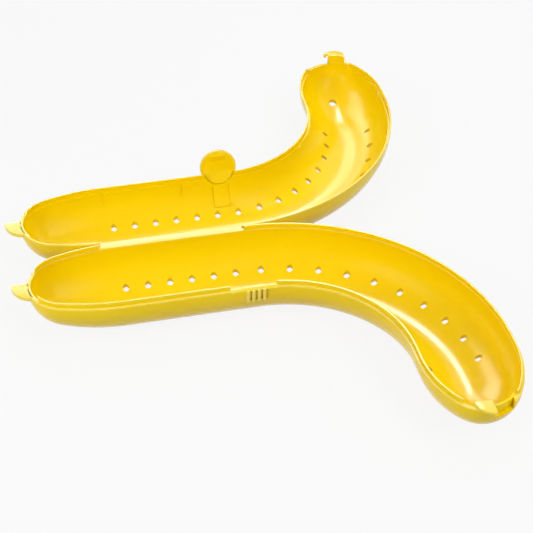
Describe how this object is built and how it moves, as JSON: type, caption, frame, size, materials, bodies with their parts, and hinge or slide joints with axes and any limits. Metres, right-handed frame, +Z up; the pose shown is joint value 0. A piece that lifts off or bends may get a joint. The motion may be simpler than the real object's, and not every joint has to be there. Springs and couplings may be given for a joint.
{
  "type": "banana carrying case",
  "caption": "Hinged clamshell carrying case in yellow plastic, bent like the fruit it holds, with vent holes, closing lip, snap latch, finger tabs and a hanging hole.",
  "frame": {"origin": "centre of the case's bounding box at floor level, lying open", "axes": "+X along the hinge towards the bend, +Y from the base towards the lid, +Z up"},
  "size_m": [0.2172, 0.296, 0.0349],
  "materials": {
    "yellow_plastic": "satin",
    "hinge_film": "satin"
  },
  "bodies": {
    "base": {"base_shell": "yellow_plastic", "base_lip": "yellow_plastic", "base_catch": "yellow_plastic", "base_finger_tab": "yellow_plastic", "base_head_tab": "yellow_plastic", "base_hinge_leaf": "hinge_film"},
    "lid": {"lid_shell": "yellow_plastic", "lid_finger_tab": "yellow_plastic", "lid_head_tab": "yellow_plastic", "lid_hinge_leaf": "hinge_film"},
    "latch": {"latch": "yellow_plastic"}
  },
  "joints": [
    {"name": "lid_hinge", "type": "hinge", "parent": "base", "child": "lid", "pos_m": [-0.0293, 0, 0.0243], "axis": [1, 0, 0], "range_deg": [0, 180]},
    {"name": "latch_flex", "type": "hinge", "parent": "lid", "child": "latch", "pos_m": [0.0032, 0.04614, 0.0155], "axis": [1, 0, 0], "range_deg": [-15, 10]}
  ]
}
